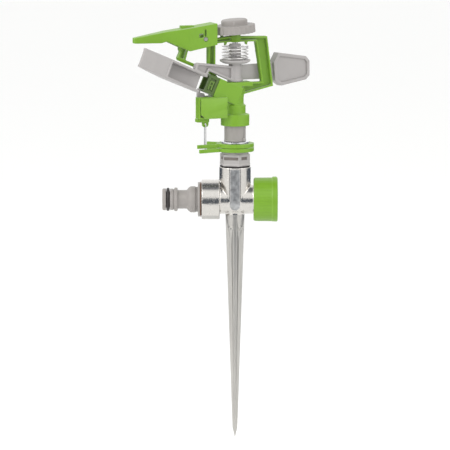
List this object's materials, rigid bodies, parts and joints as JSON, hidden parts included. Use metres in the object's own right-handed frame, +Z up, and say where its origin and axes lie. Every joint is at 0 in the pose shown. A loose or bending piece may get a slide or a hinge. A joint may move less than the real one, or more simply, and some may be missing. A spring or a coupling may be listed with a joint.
{
  "type": "impact sprinkler on ground spike",
  "caption": "Impact lawn sprinkler: spring-loaded arm, arc-stop collars, trip wire, range knob and jet deflector flap on a cast tee with a hose inlet, end cap and ground spike.",
  "frame": {"origin": "on the head's turning axis, where the ground spike meets the tee's underside", "axes": "+Z up the head's turning axis, +X along the tee towards its end cap, -X towards the hose inlet"},
  "size_m": [0.1412, 0.0921, 0.3377],
  "materials": {
    "green_plastic": "moulded green plastic, satin",
    "dark_green_plastic": "moulded dark green plastic, satin",
    "grey_plastic": "moulded warm grey plastic, satin",
    "die_cast_zinc": "tumbled die-cast zinc, bright",
    "spring_steel": "drawn stainless steel",
    "black_rubber": "moulded rubber",
    "seal_fibre": "brown fibre gasket",
    "white_acetal": "white acetal"
  },
  "bodies": {
    "stand": {"spike_casting": "die_cast_zinc", "inlet_adaptor": "grey_plastic", "inlet_washer": "seal_fibre", "adaptor_o_ring": "black_rubber", "bearing_nut": "grey_plastic", "nut_seal": "black_rubber"},
    "cap_thread": {"cap_washer": "black_rubber"},
    "cap": {"end_cap": "green_plastic"},
    "lower_collar": {"arc_stop_lower": "green_plastic"},
    "upper_collar": {"arc_stop_upper": "green_plastic"},
    "head": {"head_body": "green_plastic", "bearing_tube": "white_acetal", "thrust_washer_lower": "white_acetal", "thrust_seal": "black_rubber", "thrust_washer_upper": "white_acetal", "top_washer": "spring_steel", "dust_sleeve": "grey_plastic", "bearing_spring": "spring_steel", "nozzle": "dark_green_plastic", "trip_cover": "green_plastic", "fulcrum_pin": "spring_steel", "flap_pin": "spring_steel"},
    "lever": {"trip_lever": "grey_plastic", "wire_holder": "green_plastic", "trip_spring": "spring_steel"},
    "hairpin": {"trip_wire": "spring_steel"},
    "arm": {"arm": "grey_plastic", "arm_spring": "spring_steel"},
    "knob": {"range_knob": "grey_plastic"},
    "flap": {"deflector_flap": "green_plastic"}
  },
  "joints": [
    {"name": "head_turn", "type": "hinge", "parent": "stand", "child": "head", "pos_m": [0, 0, 0.06], "axis": [0, 0, 1], "continuous": true},
    {"name": "arm_swing", "type": "hinge", "parent": "head", "child": "arm", "pos_m": [0, 0, 0.12], "axis": [0, 0, 1], "range_deg": [0, 105], "stiffness_Nm_per_rad": 0.006, "springref_deg": -17.19, "deforming": ["arm_spring"]},
    {"name": "trip_turn", "type": "hinge", "parent": "head", "child": "lever", "pos_m": [-0.02735, -0.00995, 0.088], "axis": [0, 0, 1], "range_deg": [-12, 12], "deforming": ["trip_spring"]},
    {"name": "wire_fold", "type": "hinge", "parent": "lever", "child": "hairpin", "pos_m": [-0.02377, -0.00865, 0.0748], "axis": [-0.342, 0.9397, 0], "range_deg": [0, 95]},
    {"name": "lower_collar_turn", "type": "hinge", "parent": "stand", "child": "lower_collar", "pos_m": [0, 0, 0.054], "axis": [0, 0, 1], "continuous": true},
    {"name": "upper_collar_turn", "type": "hinge", "parent": "stand", "child": "upper_collar", "pos_m": [0, 0, 0.0573], "axis": [0, 0, 1], "continuous": true},
    {"name": "cap_slide", "type": "slide", "parent": "stand", "child": "cap_thread", "axis": [1, 0, 0], "range_m": [0, 0.00907]},
    {"name": "cap_turn", "type": "hinge", "parent": "cap_thread", "child": "cap", "pos_m": [0.0244, 0, 0.0134], "axis": [1, 0, 0], "range_deg": [0, 1800]},
    {"name": "knob_turn", "type": "hinge", "parent": "head", "child": "knob", "pos_m": [0, 0, 0.1466], "axis": [-0.0705, -0.0256, 0.9972], "range_deg": [0, 300]},
    {"name": "flap_tip", "type": "hinge", "parent": "head", "child": "flap", "pos_m": [-0.02584, -0.00941, 0.1432], "axis": [0.342, -0.9397, 0], "range_deg": [0, 14]}
  ],
  "couplings": [
    {"joint": "cap_turn", "follows": "cap_slide", "rad_per_m": 3463.7},
    {"joint": "flap_tip", "follows": "knob_turn", "ratio": 0.046667}
  ]
}
